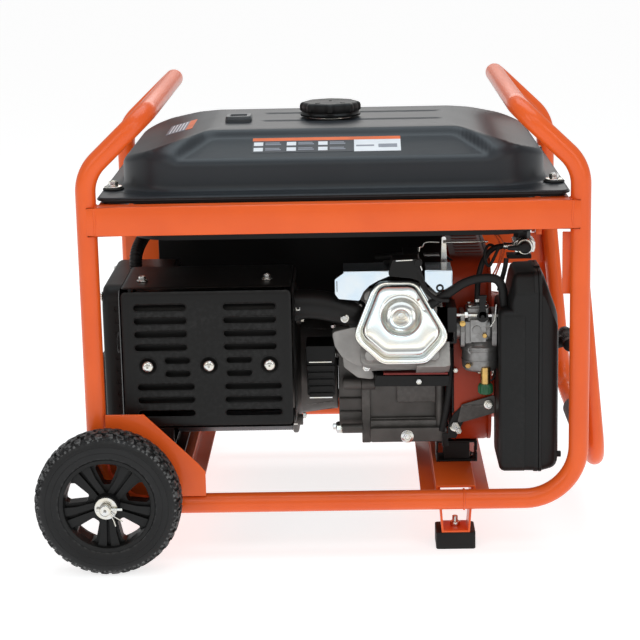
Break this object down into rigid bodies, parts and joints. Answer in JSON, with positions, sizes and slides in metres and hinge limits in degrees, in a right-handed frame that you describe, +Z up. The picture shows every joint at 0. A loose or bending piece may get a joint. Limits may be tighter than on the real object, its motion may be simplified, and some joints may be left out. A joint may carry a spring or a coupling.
{
  "type": "portable generator",
  "caption": "Open-frame petrol generator in a bent-tube cradle with a crowned fuel tank, single-cylinder engine, alternator, side wheels and a folding lift handle.",
  "frame": {"origin": "on the floor at the middle of the outline", "axes": "+X from the wheels to the folding handle, +Y from the engine side to the socket panel side, +Z up"},
  "size_m": [0.8015, 0.688, 0.644],
  "materials": {
    "frame_orange": "gloss powder coat",
    "shroud_red": "gloss paint",
    "tank_slate": "satin powder coat",
    "black_paint": "satin paint",
    "black_plastic": "fine grained moulding",
    "tyre": "matt",
    "rubber": "matt",
    "grip_grey": "foam grip",
    "zinc": "bright zinc plate",
    "cast_aluminium": "as cast",
    "chrome_cover": "bright plated pressing",
    "steel": "machined",
    "gasket_red": "fibre sheet",
    "filter_foam": "oiled foam",
    "copper": "lacquered windings on steel laminations",
    "signal_red": "moulded"
  },
  "bodies": {
    "frame": {"air_cleaner_base": "black_plastic", "air_cleaner_cover": "black_plastic", "air_outlet_box": "black_plastic", "alternator_bell": "cast_aluminium", "alternator_end_cover": "black_paint", "carburettor": "cast_aluminium", "control_panel": "black_paint", "crankcase": "cast_aluminium", "cross_members": "frame_orange", "cylinder_head": "cast_aluminium", "end_rails": "frame_orange", "engine_fasteners": "zinc", "engine_gaskets": "gasket_red", "engine_hoses": "rubber", "engine_mounts": "black_paint", "fan_shroud": "shroud_red", "filler_neck": "zinc", "filter_element": "filter_foam", "foot_brackets": "frame_orange", "frame_fasteners": "zinc", "fuel_gauge": "black_plastic", "fuel_valve": "black_plastic", "handle_brackets": "frame_orange", "heat_deflectors": "zinc", "hoop_left": "frame_orange", "hoop_right": "frame_orange", "muffler": "black_paint", "muffler_shield": "black_paint", "panel_sockets": "black_plastic", "recoil_housing": "black_paint", "rubber_feet": "rubber", "rubber_mounts": "rubber", "spark_plug": "rubber", "stator": "copper", "tank_lower": "tank_slate", "tank_upper": "tank_slate", "top_rails": "frame_orange", "valve_cover": "chrome_cover", "wheel_axles": "zinc", "wheel_gussets": "frame_orange", "wiring_conduit": "black_plastic"},
    "wheel_front": {"tyre_front": "tyre", "rim_front": "black_plastic"},
    "wheel_rear": {"tyre_rear": "tyre", "rim_rear": "black_plastic"},
    "handle": {"handle": "frame_orange", "handle_grip": "grip_grey"},
    "cap_seal": {"cap_seal": "rubber"},
    "fuel_cap": {"fuel_cap": "black_plastic"},
    "fuel_valve_lever": {"fuel_valve_lever": "signal_red"},
    "choke_lever": {"choke_lever": "black_plastic"},
    "governor_arm": {"governor_arm": "black_paint"},
    "governor_link": {"governor_link": "zinc"},
    "recoil_grip": {"recoil_grip": "black_plastic"},
    "recoil_pulley": {"recoil_pulley": "black_plastic"},
    "crankshaft": {"crankshaft": "steel", "flywheel": "cast_aluminium", "rotor": "copper"},
    "breaker_lever": {"breaker_lever": "black_plastic"},
    "engine_switch": {"engine_switch": "signal_red"}
  },
  "joints": [
    {"name": "wheel_front_spin", "type": "hinge", "parent": "frame", "child": "wheel_front", "pos_m": [-0.2992, -0.3, 0.1015], "axis": [0, 1, 0], "continuous": true},
    {"name": "wheel_rear_spin", "type": "hinge", "parent": "frame", "child": "wheel_rear", "pos_m": [-0.2992, 0.3, 0.1015], "axis": [0, 1, 0], "continuous": true},
    {"name": "handle_fold", "type": "hinge", "parent": "frame", "child": "handle", "pos_m": [0.356, 0, 0.405], "axis": [0, -1, 0], "range_deg": [0, 95]},
    {"name": "cap_lift", "type": "slide", "parent": "frame", "child": "cap_seal", "axis": [0, 0, 1], "range_m": [0, 0.08]},
    {"name": "cap_turn", "type": "hinge", "parent": "cap_seal", "child": "fuel_cap", "pos_m": [0.0138, -0.008, 0.6], "axis": [0, 0, 1], "range_deg": [0, 90]},
    {"name": "fuel_valve_turn", "type": "hinge", "parent": "frame", "child": "fuel_valve_lever", "pos_m": [0.2838, -0.192, 0.427], "axis": [0, 1, 0], "range_deg": [0, 90]},
    {"name": "choke_turn", "type": "hinge", "parent": "frame", "child": "choke_lever", "pos_m": [0.2228, -0.212, 0.335], "axis": [0, 1, 0], "range_deg": [-35, 35]},
    {"name": "governor_swing", "type": "hinge", "parent": "frame", "child": "governor_arm", "pos_m": [0.1728, -0.138, 0.386], "axis": [0, 1, 0], "range_deg": [0, 18], "stiffness_Nm_per_rad": 0.05},
    {"name": "governor_link_turn", "type": "hinge", "parent": "governor_arm", "child": "governor_link", "pos_m": [0.1728, -0.141, 0.428], "axis": [0, 1, 0], "range_deg": [-18, 0]},
    {"name": "recoil_pull", "type": "slide", "parent": "frame", "child": "recoil_grip", "axis": [0.9063, 0, 0.4226], "range_m": [0, 0.9], "stiffness_N_per_m": 4},
    {"name": "recoil_reel", "type": "hinge", "parent": "frame", "child": "recoil_pulley", "pos_m": [0.2878, -0.01, 0.23], "axis": [1, 0, 0], "range_deg": [-4, 864]},
    {"name": "crank_turn", "type": "hinge", "parent": "frame", "child": "crankshaft", "pos_m": [0.0178, -0.01, 0.23], "axis": [1, 0, 0], "continuous": true},
    {"name": "breaker_throw", "type": "hinge", "parent": "frame", "child": "breaker_lever", "pos_m": [0.0318, 0.224, 0.406], "axis": [1, 0, 0], "range_deg": [-25, 25]},
    {"name": "engine_switch_rock", "type": "hinge", "parent": "frame", "child": "engine_switch", "pos_m": [0.1078, 0.224, 0.406], "axis": [1, 0, 0], "range_deg": [-8, 8]}
  ],
  "couplings": [
    {"joint": "governor_link_turn", "follows": "governor_swing", "ratio": -1},
    {"joint": "recoil_reel", "follows": "recoil_pull", "rad_per_m": 16.667}
  ]
}
